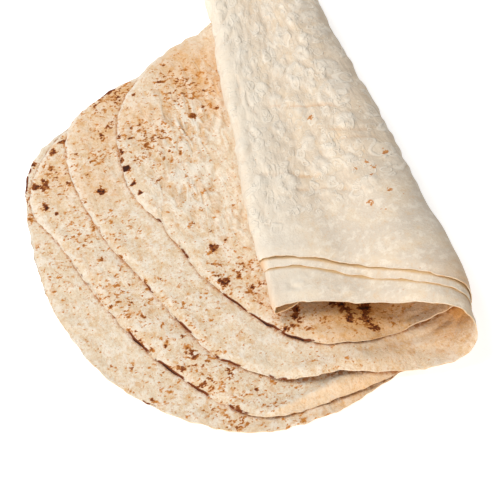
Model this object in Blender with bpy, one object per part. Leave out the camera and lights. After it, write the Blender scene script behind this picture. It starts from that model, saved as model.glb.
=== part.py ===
"""Folded lavash: four thin oval flatbreads, fanned out, rolled over on the right and tucked under.

+Y runs along the main fold, from its open front end to the back, +X points towards the fold and
+Z is up. The origin is the middle of the footprint, on the surface that the bread lies on.
"""
import math

import bmesh
import bpy
import numpy as np
from mathutils import Vector
from mathutils.geometry import interpolate_bezier

MM = 0.001

# Sheets: thickness, and the step from the middle of one sheet to the middle of the next
THICKNESS = 1.5 * MM
LAYER_STEP = 2.4 * MM

# Main fold: where the bread leaves the table, how far right it bulges and where it is highest
FOLD_START_X = 88 * MM
FOLD_REACH_X = 141 * MM
FOLD_CREST_X = 110 * MM
FOLD_HEIGHT_FRONT = 46 * MM
FOLD_HEIGHT_BACK = 40 * MM
FOLD_SLOPE_Y = (-100 * MM, 250 * MM)
FOLD_FOOT_RISE = 7 * MM
FOLD_SHOULDER_DROP = 6 * MM

# The fold's front corner bends inwards over this stretch
CORNER_PULL = 7 * MM
CORNER_Y = (-155 * MM, -75 * MM)

# Flap: it sags behind the crest and turns under at the second fold, which slants to the back right
FLAP_SAG_X = 58 * MM
FLAP_SAG_ROOM = 26 * MM
FLAP_HEIGHT = 30 * MM
SECOND_FOLD_X = 2 * MM
SECOND_FOLD_SLANT = 0.20
SECOND_FOLD_RADIUS = 9.3 * MM
TUCK_END_X = 92 * MM

# Lengths along the rolled sheet at which the fold, the flap, the second fold and the tuck begin
FOLD_ALONG = FOLD_START_X
FLAP_ALONG = 166 * MM
TURN_ALONG = 272 * MM
TUCK_ALONG = 301 * MM
END_ALONG = 385 * MM

# Waves of the lying sheets, which fade out under the flap and round the flat middle
WAVE_HEIGHT = 2.5 * MM
WAVE_MIDDLE = (10 * MM, 30 * MM)
WAVE_START = 80 * MM
WAVE_FULL = 170 * MM
WAVE_FADE = 60 * MM

# Hump at the front, which lifts the upper three sheets off the bottom one
HUMP_HEIGHT = 9 * MM
HUMP_SPREAD = 0.15
HUMP_LEFT_X = -25 * MM
HUMP_MIDDLE_X = 32 * MM
HUMP_FRONT_Y = -150 * MM
HUMP_TOP_Y = -124 * MM
HUMP_BACK_Y = -58 * MM

# Rims that show, bottom sheet first, in mm, anticlockwise from the left end. The first number is
# the length along the rolled sheet, which is x where the sheet lies flat, and the second is y.
FRONT_RIMS = {
    "sheet_bottom": [
        (-164, 35), (-160, -12), (-141, -68), (-102, -117), (-50, -150), (6, -155), (55, -145),
        (96, -133), (140, -111), (200, -66), (245, -37), (285, -24), (325, -12)],
    "sheet_second": [
        (-154, 90), (-141, 52), (-128, 0), (-104, -62), (-70, -115), (-38, -142), (15, -146),
        (60, -143), (100, -134), (140, -118), (200, -75), (250, -42), (300, -30), (330, -10)],
    "sheet_third": [
        (-115, 112), (-107, 50), (-90, 0), (-62, -76), (-28, -111), (-5, -124), (30, -132),
        (62, -141), (100, -150), (122, -147), (140, -137), (165, -118), (190, -103), (230, -80),
        (268, -68), (305, -68), (335, -36)],
    "sheet_top": [
        (-74, 95), (-64, 50), (-54, 20), (-45, -14), (-24, -54), (5, -94), (40, -112), (100, -112),
        (150, -106), (215, -78), (270, -50), (312, -20)],
}
LEFT_RIMS = {
    "sheet_bottom": [(-15, 198), (-104, 167), (-140, 143), (-157, 103)],
    "sheet_second": [(-25, 190), (-104, 165), (-143, 127)],
    "sheet_third": [(0, 208), (-35, 197), (-66, 189), (-104, 163)],
    "sheet_top": [(43, 228), (0, 215), (-32, 194), (-62, 158)],
}

# Far rim, tucked in or at the back: each sheet's is a little nearer to its middle than the last
FAR_RIM = [(356, 40), (374, 115), (350, 210), (290, 270), (180, 280), (80, 256)]
FAR_MIDDLE = (170, 90)
FAR_SHRINK = 0.03

# Middle of the footprint, measured from where the lengths above start
MIDDLE = (-10.9 * MM, 62.8 * MM)

# Mesh: cells across a sheet, crowded towards its front rim, and cells in each stretch of the roll
ROWS = 16
FRONT_CROWDING = 1.5
RIM_STEPS = 16
END_LENGTH = 60 * MM
END_FIRST_ANGLE = 0.14
END_CELLS = 6
RUN_CELLS = 10
FOLD_CELLS = 10
FLAP_CELLS = 6
TURN_CELLS = 7
PROFILE_STEPS = 24
TANGENT_STEP = 0.4 * MM

CRUST_COLOURS = {
    "sheet_bottom": (0.74, 0.60, 0.45, 1.0),
    "sheet_second": (0.76, 0.60, 0.42, 1.0),
    "sheet_third": (0.80, 0.64, 0.45, 1.0),
    "sheet_top": (0.80, 0.65, 0.46, 1.0),
}
CRUST_ROUGHNESS = 0.85
SHARP_ANGLE = math.radians(40)


def ease(value, start, end):
    """Rises smoothly from 0 at start to 1 at end."""
    share = min(max((value - start) / (end - start), 0.0), 1.0)
    return share * share * (3 - 2 * share)


def spread(line, count):
    """The same line with its points evenly spaced."""
    steps = np.hypot(*np.diff(line, axis=0).T)
    along = np.concatenate([[0], np.cumsum(steps)])
    wanted = np.linspace(0, along[-1], count)
    return np.column_stack([np.interp(wanted, along, line[:, axis]) for axis in (0, 1)])


def bezier(*corners):
    """One Bezier stretch in the x-z plane."""
    return np.array(interpolate_bezier(*[Vector(corner) for corner in corners], PROFILE_STEPS))


def roll_profile(y):
    """The bottom sheet's middle line at one place along the fold: lengths along it, and x and z."""
    table = THICKNESS / 2
    height = FOLD_HEIGHT_FRONT + (FOLD_HEIGHT_BACK - FOLD_HEIGHT_FRONT) * ease(y, *FOLD_SLOPE_Y)
    half = (height + table) / 2
    reach_x = FOLD_REACH_X - CORNER_PULL * (1 - ease(y, *CORNER_Y))
    turn_x = SECOND_FOLD_X + SECOND_FOLD_SLANT * y + SECOND_FOLD_RADIUS
    sag_x = max(FLAP_SAG_X, turn_x + FLAP_SAG_ROOM)
    tuck_z = table + len(FRONT_RIMS) * LAYER_STEP
    turn_z = tuck_z + SECOND_FOLD_RADIUS
    flap_end_z = turn_z + SECOND_FOLD_RADIUS
    lower = bezier((FOLD_START_X, table), ((FOLD_START_X + reach_x) / 2, table),
                   (reach_x, table + FOLD_FOOT_RISE), (reach_x, half))
    upper = bezier((reach_x, half), (reach_x, height - FOLD_SHOULDER_DROP),
                   ((FOLD_CREST_X + reach_x) / 2, height), (FOLD_CREST_X, height))
    fall = bezier((FOLD_CREST_X, height), (FOLD_CREST_X - 15 * MM, height),
                  (sag_x + 15 * MM, FLAP_HEIGHT), (sag_x, FLAP_HEIGHT))
    level = bezier((sag_x, FLAP_HEIGHT), (sag_x - 10 * MM, FLAP_HEIGHT),
                   (turn_x + 8 * MM, flap_end_z), (turn_x, flap_end_z))
    angles = np.linspace(math.pi / 2, 3 * math.pi / 2, PROFILE_STEPS)
    turn = np.column_stack([turn_x + SECOND_FOLD_RADIUS * np.cos(angles),
                            turn_z + SECOND_FOLD_RADIUS * np.sin(angles)])
    left_x = -300 * MM
    parts = [np.array([(left_x, table), (FOLD_START_X, table)]),
             spread(np.vstack([lower, upper[1:]]), 2 * PROFILE_STEPS),
             spread(np.vstack([fall, level[1:]]), 2 * PROFILE_STEPS),
             turn,
             np.array([(turn_x, tuck_z), (TUCK_END_X, tuck_z)])]
    starts = [left_x, FOLD_ALONG, FLAP_ALONG, TURN_ALONG, TUCK_ALONG, END_ALONG]
    along = [np.linspace(start, end, len(part))[:-1]
             for start, end, part in zip(starts, starts[1:], parts)]
    line = [part[:-1] for part in parts]
    return np.column_stack([np.append(np.concatenate(along), END_ALONG),
                            np.vstack(line + [parts[-1][-1:]])])


def roll_point(profile, along, inset):
    """A point on the profile, moved towards the inside of the roll by inset."""
    def at(length):
        return np.array([np.interp(length, profile[:, 0], profile[:, axis]) for axis in (1, 2)])
    way = at(along + TANGENT_STEP) - at(along - TANGENT_STEP)
    way /= np.hypot(*way)
    x, z = at(along)
    return x - way[1] * inset, z + way[0] * inset


def wave(x, y):
    """Height of the waves at a place on the table."""
    side_x, side_y = x - WAVE_MIDDLE[0], y - WAVE_MIDDLE[1]
    rim = ease(math.hypot(side_x, side_y), WAVE_START, WAVE_FULL)
    ripple = 0.5 - 0.5 * math.cos(3 * math.atan2(side_y, side_x) + 0.6)
    fold_x = SECOND_FOLD_X + SECOND_FOLD_SLANT * y
    return WAVE_HEIGHT * rim * ripple * (1 - ease(x, fold_x - WAVE_FADE, fold_x))


def hump(x, y, layer):
    """Height of the hump under a sheet: none under the bottom one, and a little more each time."""
    if layer == 0:
        return 0.0
    left = ease(x, HUMP_LEFT_X, HUMP_MIDDLE_X)
    right = 1 - ease(x, HUMP_MIDDLE_X, FOLD_START_X)
    front = ease(y, HUMP_FRONT_Y, HUMP_TOP_Y)
    back = 1 - ease(y, HUMP_TOP_Y, HUMP_BACK_Y)
    return HUMP_HEIGHT * (1 + HUMP_SPREAD * (layer - 1)) * left * right * front * back


def sheet_point(along, y, layer, side):
    """A point of a sheet's inner (side 1) or outer (side -1) face, as the bread lies folded."""
    inset = layer * LAYER_STEP + side * THICKNESS / 2
    x, z = roll_point(roll_profile(y), along, inset)
    if along < FOLD_ALONG:
        z += wave(x, y) + hump(x, y, layer)
    return x - MIDDLE[0], y - MIDDLE[1], z


def rim_corners(name, layer):
    """The points of a sheet's rim, anticlockwise from its left end."""
    share = 1 - FAR_SHRINK * layer
    far = [[middle + (value - middle) * share for value, middle in zip(corner, FAR_MIDDLE)]
           for corner in FAR_RIM]
    return [Vector(corner) * MM for corner in FRONT_RIMS[name] + far + LEFT_RIMS[name]]


def rim_sides(corners):
    """The smooth rim as two lines from the left end to the right one: front, then back."""
    loop = []
    for index, here in enumerate(corners):
        before, after, beyond = (corners[(index + step) % len(corners)] for step in (-1, 1, 2))
        loop += interpolate_bezier(here, here + (after - before) / 6,
                                   after - (beyond - here) / 6, after, RIM_STEPS)[:-1]
    line = np.array(loop)
    line = np.roll(line, -int(np.argmin(line[:, 0])), axis=0)
    right = int(np.argmax(line[:, 0]))
    return line[:right + 1], np.vstack([line[right:], line[:1]])[::-1]


def stations(left, right):
    """Lengths along the roll of a sheet's columns, close together at its ends and folds."""
    angles = np.linspace(END_FIRST_ANGLE, math.pi / 2, END_CELLS + 1)
    start = left + END_LENGTH * (1 - np.cos(angles))
    end = right - END_LENGTH * (1 - np.cos(angles))[::-1]
    stretches = [start, np.linspace(start[-1], FOLD_ALONG, RUN_CELLS + 1),
                 np.linspace(FOLD_ALONG, FLAP_ALONG, FOLD_CELLS + 1),
                 np.linspace(FLAP_ALONG, TURN_ALONG, FLAP_CELLS + 1),
                 np.linspace(TURN_ALONG, TUCK_ALONG, TURN_CELLS + 1),
                 end[end > TUCK_ALONG + MM]]
    return np.unique(np.concatenate(stretches).round(6))


def sheet_grid(mesh, name, layer, side):
    """Vertices of one face of a sheet, a list for each column, from its front rim to its back."""
    front, back = rim_sides(rim_corners(name, layer))
    shares = (np.arange(ROWS + 1) / ROWS) ** FRONT_CROWDING
    grid = []
    for along in stations(front[0, 0], front[-1, 0]):
        low, high = (np.interp(along, line[:, 0], line[:, 1]) for line in (front, back))
        grid.append([mesh.verts.new(sheet_point(along, low + (high - low) * share, layer, side))
                     for share in shares])
    return grid


def grid_rim(grid):
    """The outer vertices of a grid, once round."""
    return (grid[0][::-1] + [column[0] for column in grid[1:]] + grid[-1][1:]
            + [column[-1] for column in grid[-2:0:-1]])


def make_sheet(name, layer):
    """One sheet as a closed solid: two faces with the same triangles, joined round the rim."""
    mesh = bmesh.new()
    inner, outer = (sheet_grid(mesh, name, layer, side) for side in (1, -1))
    for grid, way in ((inner, 1), (outer, -1)):
        for left, right in zip(grid, grid[1:]):
            for row in range(ROWS):
                corners = (left[row], right[row], right[row + 1], left[row + 1])
                mesh.faces.new([corners[index] for index in (0, 1, 2)[::way]])
                mesh.faces.new([corners[index] for index in (0, 2, 3)[::way]])
    above, below = grid_rim(inner), grid_rim(outer)
    for index, here in enumerate(above):
        after = (index + 1) % len(above)
        mesh.faces.new((here, below[index], below[after]))
        mesh.faces.new((here, below[after], above[after]))
    data = bpy.data.meshes.new(name)
    mesh.to_mesh(data)
    mesh.free()
    data.shade_smooth()
    data.set_sharp_from_angle(angle=SHARP_ANGLE)
    sheet = bpy.data.objects.new(name, data)
    bpy.context.collection.objects.link(sheet)
    return sheet


def make_crust(name):
    crust = bpy.data.materials.new(name + "_crust")
    crust.use_nodes = True
    shader = crust.node_tree.nodes["Principled BSDF"]
    shader.inputs["Base Color"].default_value = CRUST_COLOURS[name]
    shader.inputs["Roughness"].default_value = CRUST_ROUGHNESS
    shader.inputs["Metallic"].default_value = 0.0
    return crust


for old in list(bpy.data.objects):
    bpy.data.objects.remove(old)

for number, sheet_name in enumerate(FRONT_RIMS):
    made = make_sheet(sheet_name, number)
    made.data.materials.append(make_crust(sheet_name))
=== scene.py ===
"""Looks of the folded lavash: four thin flatbreads, fanned out, rolled over and tucked under.

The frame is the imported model's: +Y runs along the fold from its open front end, +Z is up, metres.
"""
import math

import bpy
import numpy as np
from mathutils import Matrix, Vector, kdtree, noise
from mathutils.geometry import interpolate_bezier


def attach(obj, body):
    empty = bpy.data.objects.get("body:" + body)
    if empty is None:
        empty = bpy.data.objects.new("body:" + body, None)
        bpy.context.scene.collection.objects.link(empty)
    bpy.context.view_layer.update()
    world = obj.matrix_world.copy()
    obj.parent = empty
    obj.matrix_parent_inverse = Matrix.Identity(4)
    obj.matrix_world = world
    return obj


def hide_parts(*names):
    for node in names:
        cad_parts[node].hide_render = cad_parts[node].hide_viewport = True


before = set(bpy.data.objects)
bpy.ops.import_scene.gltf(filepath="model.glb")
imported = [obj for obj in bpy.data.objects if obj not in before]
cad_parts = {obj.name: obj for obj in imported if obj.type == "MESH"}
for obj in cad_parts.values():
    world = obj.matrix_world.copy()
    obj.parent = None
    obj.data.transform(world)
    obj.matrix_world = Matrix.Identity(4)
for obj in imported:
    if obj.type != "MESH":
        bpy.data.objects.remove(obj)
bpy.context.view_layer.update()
bpy.ops.object.select_all(action="DESELECT")
MM = 0.001

# Table and studio: a white seamless table under one big soft light from the upper left, seen from
# the fold's open front end by a camera that looks steeply down.
TABLE_SIZE = 8.0
TABLE_WHITE = (0.85, 0.85, 0.85, 1.0)
TABLE_ROUGHNESS = 0.9
TABLE_GLOW = 0.6
TABLE_GAP = 0.2 * MM
ROOM_WHITE = (1.0, 1.0, 1.0, 1.0)
ROOM_LIGHT = 0.38
SOFTBOX_SIZE = 0.9
SOFTBOX_POWER = 20.0
SOFTBOX_PLACE = Vector((-0.75, 0.75, 1.25))
SOFTBOX_WHITE = (1.0, 1.0, 1.0)
FILL_SIZE = 1.0
FILL_POWER = 21.0
FILL_PLACE = Vector((-0.45, -1.5, 0.30))
FILL_WARM = (1.0, 0.90, 0.78)
LOOK_AT = Vector((10.9, -62.8, 0.0)) * MM
LOOK_DOWN = math.radians(58)
LOOK_ACROSS = math.radians(20.3)
CAMERA_AWAY = 960 * MM
LENS_MM = 86.4
FILM_MM = 36.0

bpy.ops.mesh.primitive_plane_add(size=TABLE_SIZE, location=(0, 0, -TABLE_GAP))
table = bpy.context.object
table.name = "table"
table_white = bpy.data.materials.new("table_white")
table_white.use_nodes = True
table_shader = table_white.node_tree.nodes["Principled BSDF"]
table_shader.inputs["Base Color"].default_value = TABLE_WHITE
table_shader.inputs["Roughness"].default_value = TABLE_ROUGHNESS
table_shader.inputs["Emission Color"].default_value = TABLE_WHITE
table_shader.inputs["Emission Strength"].default_value = TABLE_GLOW
table.data.materials.append(table_white)

room = bpy.data.worlds.new("studio_room")
room.use_nodes = True
room.node_tree.nodes["Background"].inputs["Color"].default_value = ROOM_WHITE
room.node_tree.nodes["Background"].inputs["Strength"].default_value = ROOM_LIGHT
bpy.context.scene.world = room


def soft_light(name, place, size, power, colour):
    """A square soft lamp that faces the bread."""
    bpy.ops.object.light_add(type="AREA", location=place)
    lamp = bpy.context.object
    lamp.name = name
    lamp.data.size = size
    lamp.data.energy = power
    lamp.data.color = colour
    lamp.rotation_euler = (LOOK_AT - place).to_track_quat("-Z", "Y").to_euler()


soft_light("softbox", SOFTBOX_PLACE, SOFTBOX_SIZE, SOFTBOX_POWER, SOFTBOX_WHITE)
soft_light("front_fill", FILL_PLACE, FILL_SIZE, FILL_POWER, FILL_WARM)

look = Vector((math.cos(LOOK_DOWN) * math.sin(LOOK_ACROSS),
               math.cos(LOOK_DOWN) * math.cos(LOOK_ACROSS), -math.sin(LOOK_DOWN)))
bpy.ops.object.camera_add(location=LOOK_AT - look * CAMERA_AWAY)
camera = bpy.context.object
camera.rotation_euler = look.to_track_quat("-Z", "Y").to_euler()
camera.data.sensor_width = FILM_MM
camera.data.lens = LENS_MM
bpy.context.scene.camera = camera
bpy.context.scene.view_settings.view_transform = "Standard"

# Bottom sheet: the largest flatbread, rolled out thin, baked on a hot wall and still soft. It lies
# on the table, goes up round the fold and down as the flap, and its floury outer face shows there.
THICKNESS = 1.5 * MM
LAYER_STEP = 2.4 * MM
LAYERS = 4
FOLD_START_X = 88 * MM
FOLD_REACH_X = 141 * MM
FOLD_CREST_X = 110 * MM
FOLD_HEIGHT_FRONT = 46 * MM
FOLD_HEIGHT_BACK = 40 * MM
FOLD_SLOPE_Y = (-100 * MM, 250 * MM)
FOLD_FOOT_RISE = 7 * MM
FOLD_SHOULDER_DROP = 6 * MM
CORNER_PULL = 7 * MM
CORNER_Y = (-155 * MM, -75 * MM)
FLAP_SAG_X = 58 * MM
FLAP_SAG_ROOM = 26 * MM
FLAP_HEIGHT = 30 * MM
FLAP_EASE = 15 * MM
SAG_EASE = 10 * MM
SECOND_FOLD_X = 2 * MM
SECOND_FOLD_SLANT = 0.20
SECOND_FOLD_RADIUS = 9.3 * MM
SECOND_FOLD_EASE = 8 * MM
LEFT_X = -300 * MM
TUCK_END_X = 92 * MM
FOLD_ALONG = FOLD_START_X
FLAP_ALONG = 166 * MM
TURN_ALONG = 272 * MM
TUCK_ALONG = 301 * MM
END_ALONG = 385 * MM
MIDDLE = (-10.9 * MM, 62.8 * MM)
CURVE_STEPS = 80


def ease(value, start, end):
    """Rises smoothly from 0 at start to 1 at end."""
    share = np.clip((value - start) / (end - start), 0.0, 1.0)
    return share * share * (3 - 2 * share)


def spread(line, count):
    """The same line with its points evenly spaced."""
    along = np.concatenate([[0], np.cumsum(np.hypot(*np.diff(line, axis=0).T))])
    wanted = np.linspace(0, along[-1], count)
    return np.column_stack([np.interp(wanted, along, line[:, axis]) for axis in (0, 1)])


def curve(*corners):
    """One Bezier stretch in the x-z plane."""
    return np.array(interpolate_bezier(*[Vector(corner) for corner in corners], CURVE_STEPS))


def roll_profile(y):
    """The bottom sheet's middle line at one place along the fold: lengths along it, and x and z."""
    table_z = THICKNESS / 2
    height = FOLD_HEIGHT_FRONT + (FOLD_HEIGHT_BACK - FOLD_HEIGHT_FRONT) * ease(y, *FOLD_SLOPE_Y)
    half = (height + table_z) / 2
    reach_x = FOLD_REACH_X - CORNER_PULL * (1 - ease(y, *CORNER_Y))
    turn_x = SECOND_FOLD_X + SECOND_FOLD_SLANT * y + SECOND_FOLD_RADIUS
    sag_x = max(FLAP_SAG_X, turn_x + FLAP_SAG_ROOM)
    tuck_z = table_z + LAYERS * LAYER_STEP
    turn_z = tuck_z + SECOND_FOLD_RADIUS
    flap_end_z = turn_z + SECOND_FOLD_RADIUS
    lower = curve((FOLD_START_X, table_z), ((FOLD_START_X + reach_x) / 2, table_z),
                  (reach_x, table_z + FOLD_FOOT_RISE), (reach_x, half))
    upper = curve((reach_x, half), (reach_x, height - FOLD_SHOULDER_DROP),
                  ((FOLD_CREST_X + reach_x) / 2, height), (FOLD_CREST_X, height))
    fall = curve((FOLD_CREST_X, height), (FOLD_CREST_X - FLAP_EASE, height),
                 (sag_x + FLAP_EASE, FLAP_HEIGHT), (sag_x, FLAP_HEIGHT))
    level = curve((sag_x, FLAP_HEIGHT), (sag_x - SAG_EASE, FLAP_HEIGHT),
                  (turn_x + SECOND_FOLD_EASE, flap_end_z), (turn_x, flap_end_z))
    angles = np.linspace(math.pi / 2, 3 * math.pi / 2, CURVE_STEPS)
    turn = np.column_stack([turn_x + SECOND_FOLD_RADIUS * np.cos(angles),
                            turn_z + SECOND_FOLD_RADIUS * np.sin(angles)])
    parts = [np.array([(LEFT_X, table_z), (FOLD_START_X, table_z)]),
             spread(np.vstack([lower, upper[1:]]), 2 * CURVE_STEPS),
             spread(np.vstack([fall, level[1:]]), 2 * CURVE_STEPS),
             turn,
             np.array([(turn_x, tuck_z), (TUCK_END_X, tuck_z)])]
    starts = [LEFT_X, FOLD_ALONG, FLAP_ALONG, TURN_ALONG, TUCK_ALONG, END_ALONG]
    along = [np.linspace(start, end, len(part))[:-1]
             for start, end, part in zip(starts, starts[1:], parts)]
    line = [part[:-1] for part in parts]
    return np.column_stack([np.append(np.concatenate(along), END_ALONG),
                            np.vstack(line + [parts[-1][-1:]])])


ROLL_ALONG = np.arange(-185, 385.5, 1.0) * MM
ROLL_Y = np.arange(-190, 310, 8.0) * MM
ROLL_LINES = [roll_profile(y) for y in ROLL_Y]


def fold_over(along, y, inset):
    """Where points of an unrolled sheet lie once it is folded, moved towards the roll's inside."""
    x_lines, z_lines = [], []
    for line in ROLL_LINES:
        x, z = (np.interp(ROLL_ALONG, line[:, 0], line[:, axis]) for axis in (1, 2))
        way = np.gradient(np.array([x, z]), axis=1)
        way /= np.hypot(*way)
        x_lines.append(x - way[1] * inset)
        z_lines.append(z + way[0] * inset)
    column = np.clip((along - ROLL_ALONG[0]) / (ROLL_ALONG[1] - ROLL_ALONG[0]), 0,
                     len(ROLL_ALONG) - 1.001)
    row = np.clip((y - ROLL_Y[0]) / (ROLL_Y[1] - ROLL_Y[0]), 0, len(ROLL_Y) - 1.001)
    left, low = column.astype(int), row.astype(int)
    right_share, high_share = column - left, row - low
    places = []
    for lines in (np.array(x_lines), np.array(z_lines)):
        below = lines[low, left] * (1 - right_share) + lines[low, left + 1] * right_share
        above = lines[low + 1, left] * (1 - right_share) + lines[low + 1, left + 1] * right_share
        places.append(below * (1 - high_share) + above * high_share)
    return np.stack([places[0], y, places[1]], axis=-1)


WAVE_HEIGHT = 2.5 * MM
WAVE_COUNT = 3
WAVE_TURN = 0.6
WAVE_MIDDLE = (10 * MM, 30 * MM)
WAVE_RIM = (80 * MM, 170 * MM)
WAVE_FADE = 60 * MM


def wave(x, y):
    """Height of the waves of the lying sheets, round the flat middle and not under the flap."""
    side_x, side_y = x - WAVE_MIDDLE[0], y - WAVE_MIDDLE[1]
    rim = ease(np.hypot(side_x, side_y), *WAVE_RIM)
    ripple = 0.5 - 0.5 * np.cos(WAVE_COUNT * np.arctan2(side_y, side_x) + WAVE_TURN)
    fold_x = SECOND_FOLD_X + SECOND_FOLD_SLANT * y
    return WAVE_HEIGHT * rim * ripple * (1 - ease(x, fold_x - WAVE_FADE, fold_x))


FAR_RIM = [(356, 40), (374, 115), (350, 210), (290, 270), (180, 280), (80, 256)]
FAR_MIDDLE = (170, 90)
FAR_SHRINK = 0.03
RIM_STEPS = 72


def rim_line(shown, left, layer):
    """A sheet's smooth rim, anticlockwise from its left end; its far stretch lies in the tuck."""
    share = 1 - FAR_SHRINK * layer
    far = [[middle + (value - middle) * share for value, middle in zip(corner, FAR_MIDDLE)]
           for corner in FAR_RIM]
    corners = [Vector(corner) * MM for corner in shown + far + left]
    loop = []
    for index, here in enumerate(corners):
        before, after, beyond = (corners[(index + step) % len(corners)] for step in (-1, 1, 2))
        loop += interpolate_bezier(here, here + (after - before) / 6,
                                   after - (beyond - here) / 6, after, RIM_STEPS)[:-1]
    line = np.array(loop)
    return np.roll(line, -int(np.argmin(line[:, 0])), axis=0)


# Columns of a sheet's mesh: how many there are up to each length along the roll
LEFT_END = 60 * MM
LEFT_COLUMNS = 60
COLUMN_STOPS = [(30 * MM, 50), (FOLD_ALONG, 24), (FLAP_ALONG, 36), (TURN_ALONG, 48),
                (TUCK_ALONG, 14)]
RIGHT_COLUMNS = 16
ROWS = 190


def columns(left, right):
    """Lengths along the roll of the mesh's columns, close together where the sheet ends."""
    angles = np.linspace(0.03, math.pi / 2, LEFT_COLUMNS)
    runs = [left + LEFT_END * (1 - np.cos(angles))]
    for stop, count in COLUMN_STOPS:
        runs.append(np.linspace(runs[-1][-1], stop, count + 1)[1:])
    start = runs[-1][-1]
    angles = np.linspace(math.pi / 2, 0.05, RIGHT_COLUMNS + 1)[1:]
    runs.append(start + (right - start) * np.cos(angles))
    return np.concatenate(runs)


def lumps(along, y, size, seed):
    """Smooth random lumps from about -1 to 1, as wide as size."""
    flat = np.array([noise.noise((a, b, seed)) for a, b in
                     zip((along / size).ravel(), (y / size).ravel())])
    return flat.reshape(along.shape)


def patches(along, y, spots):
    """The strongest of some soft round patches, each given by its place, radius and strength."""
    field = np.zeros_like(along)
    for spot_along, spot_y, radius, strength in spots:
        away = np.hypot(along - spot_along * MM, y - spot_y * MM) / (radius * MM)
        field = np.maximum(field, strength * np.exp(-away ** 2))
    return field


CREASE_WANDER = 2.5
CREASE_WANDER_SIZE = 16 * MM


def creases(along, y, lines):
    """Narrow ridges and grooves along lines: their two ends, half width and height, in mm."""
    wander = CREASE_WANDER * lumps(along, y, CREASE_WANDER_SIZE, 71.5)
    field = np.zeros_like(along)
    for (start_along, start_y), (end_along, end_y), half_width, height in lines:
        run_along, run_y = end_along - start_along, end_y - start_y
        length = math.hypot(run_along, run_y)
        out_along, out_y = along / MM - start_along, y / MM - start_y
        share = (out_along * run_along + out_y * run_y) / length ** 2
        off = (out_along * run_y - out_y * run_along) / length + wander
        ends = ease(share, -0.15, 0.15) * (1 - ease(share, 0.85, 1.15))
        field += height * MM * ends * np.exp(-(off / half_width) ** 2)
    return field


def distance_to(line, along, y):
    """How far each place of the unrolled sheet is from a line, and whether it lies inside it."""
    tree = kdtree.KDTree(len(line))
    for index, corner in enumerate(line):
        tree.insert((*corner, 0.0), index)
    tree.balance()
    away = np.array([tree.find((a, b, 0.0))[2] for a, b in zip(along.ravel(), y.ravel())])
    right = int(np.argmax(line[:, 0]))
    front, back = line[:right + 1], np.vstack([line[right:], line[:1]])[::-1]
    low = np.interp(along, front[:, 0], front[:, 1])
    high = np.interp(along, back[:, 0], back[:, 1])
    inside = (along > line[0, 0]) & (along < line[right, 0]) & (y > low) & (y < high)
    return away.reshape(along.shape), inside


# How ragged the rim is, how it thins out and is pressed down, what lies free beside the sheet on
# top, and how wide the painted shade runs along the rims of the sheets on top and underneath. The
# upper left rims, which face the light, get painted highlight and painted warm shade, and the
# outer face a painted highlight on the roll of the second fold.
RAG = 1.5 * MM
RAG_DEPTH = 9 * MM
RAG_SIZE = 9 * MM
FINE_RAG_SIZE = 5 * MM
FINE_RAG = 0.35
RIM_SHARE = 0.5
RIM_TAPER = 6 * MM
RIM_PRESS = 1.2 * MM
RIM_PRESS_WIDTH = 9 * MM
FREE_BEYOND = (-3 * MM, 9 * MM)
SEAM_SHADE_WIDTH = (0.3 * MM, 2.2 * MM)
OUTER_SEAM_SHADE_WIDTH = (0.6 * MM, 2.6 * MM)
LIT_LEFT_RIMS_Y = (20 * MM, 70 * MM)
LIT_LEFT_RIMS_ALONG = (-20 * MM, 20 * MM)
ROLL_HIGHLIGHT_ALONG = (225 * MM, 262 * MM)
# Each sheet takes its pattern of flecks from another stretch of the crust
PATTERN_STEP = 0.7
PATTERN_Y = 0.4


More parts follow.
